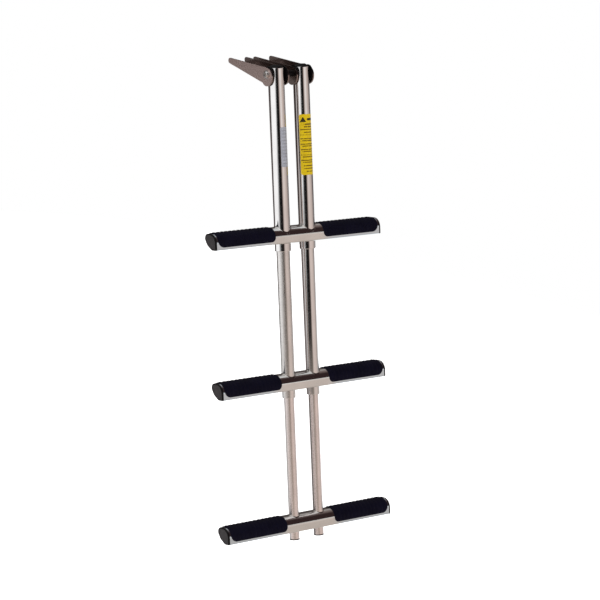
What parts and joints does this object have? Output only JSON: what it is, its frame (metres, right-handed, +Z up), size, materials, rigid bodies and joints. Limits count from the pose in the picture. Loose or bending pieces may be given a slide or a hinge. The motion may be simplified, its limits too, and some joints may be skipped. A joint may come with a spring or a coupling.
{
  "type": "boarding ladder",
  "caption": "Telescoping stainless boarding ladder with black treads, hinged on two deck brackets that fix on top of a swim platform.",
  "frame": {"origin": "centre of the four deck holes, on the deck plane under the brackets", "axes": "+Z up from the deck, +X along the steps to the right of someone facing the boat from the water, +Y inboard"},
  "size_m": [0.375, 0.4146, 0.847],
  "materials": {
    "polished_steel": "mirror polished stainless steel",
    "bracket_steel": "polished sheet steel, softer than the tubes",
    "fastener_steel": "bright machined",
    "tread_rubber": "ribbed, matte",
    "moulded_black": "fine moulded grain",
    "nylon_black": "smooth",
    "yellow_film": "printed vinyl label, no lettering",
    "silver_film": "pale printed film label, no lettering"
  },
  "bodies": {
    "mounting_brackets": {"left_bracket": "bracket_steel", "right_bracket": "bracket_steel", "pivot_bolt": "fastener_steel", "pivot_nut": "fastener_steel", "pivot_washers": "fastener_steel", "thrust_washers": "nylon_black", "centre_spacer": "nylon_black"},
    "upper_section": {"outer_tube_left": "polished_steel", "outer_tube_right": "polished_steel", "pivot_bushings": "nylon_black", "tube_cap_left": "moulded_black", "tube_cap_right": "moulded_black", "outer_guide_left": "nylon_black", "outer_guide_right": "nylon_black", "upper_step": "polished_steel", "upper_tread_left": "tread_rubber", "upper_tread_right": "tread_rubber", "upper_end_cap_left": "moulded_black", "upper_end_cap_right": "moulded_black", "yellow_label": "yellow_film", "silver_label": "silver_film"},
    "middle_section": {"middle_tube_left": "polished_steel", "middle_tube_right": "polished_steel", "middle_collar_left": "nylon_black", "middle_collar_right": "nylon_black", "middle_guide_left": "nylon_black", "middle_guide_right": "nylon_black", "middle_step": "polished_steel", "middle_tread_left": "tread_rubber", "middle_tread_right": "tread_rubber", "middle_end_cap_left": "moulded_black", "middle_end_cap_right": "moulded_black"},
    "lower_section": {"lower_tube_left": "polished_steel", "lower_tube_right": "polished_steel", "lower_collar_left": "nylon_black", "lower_collar_right": "nylon_black", "foot_plug_left": "moulded_black", "foot_plug_right": "moulded_black", "lower_step": "polished_steel", "lower_tread_left": "tread_rubber", "lower_tread_right": "tread_rubber", "lower_end_cap_left": "moulded_black", "lower_end_cap_right": "moulded_black"}
  },
  "joints": [
    {"name": "ladder_fold", "type": "hinge", "parent": "mounting_brackets", "child": "upper_section", "pos_m": [0, -0.07, 0.019], "axis": [-1, 0, 0], "range_deg": [0, 251]},
    {"name": "middle_slide", "type": "slide", "parent": "upper_section", "child": "middle_section", "axis": [0, 0.3173, 0.9483], "range_m": [0, 0.226]},
    {"name": "lower_slide", "type": "slide", "parent": "middle_section", "child": "lower_section", "axis": [0, 0.3173, 0.9483], "range_m": [0, 0.22]}
  ]
}
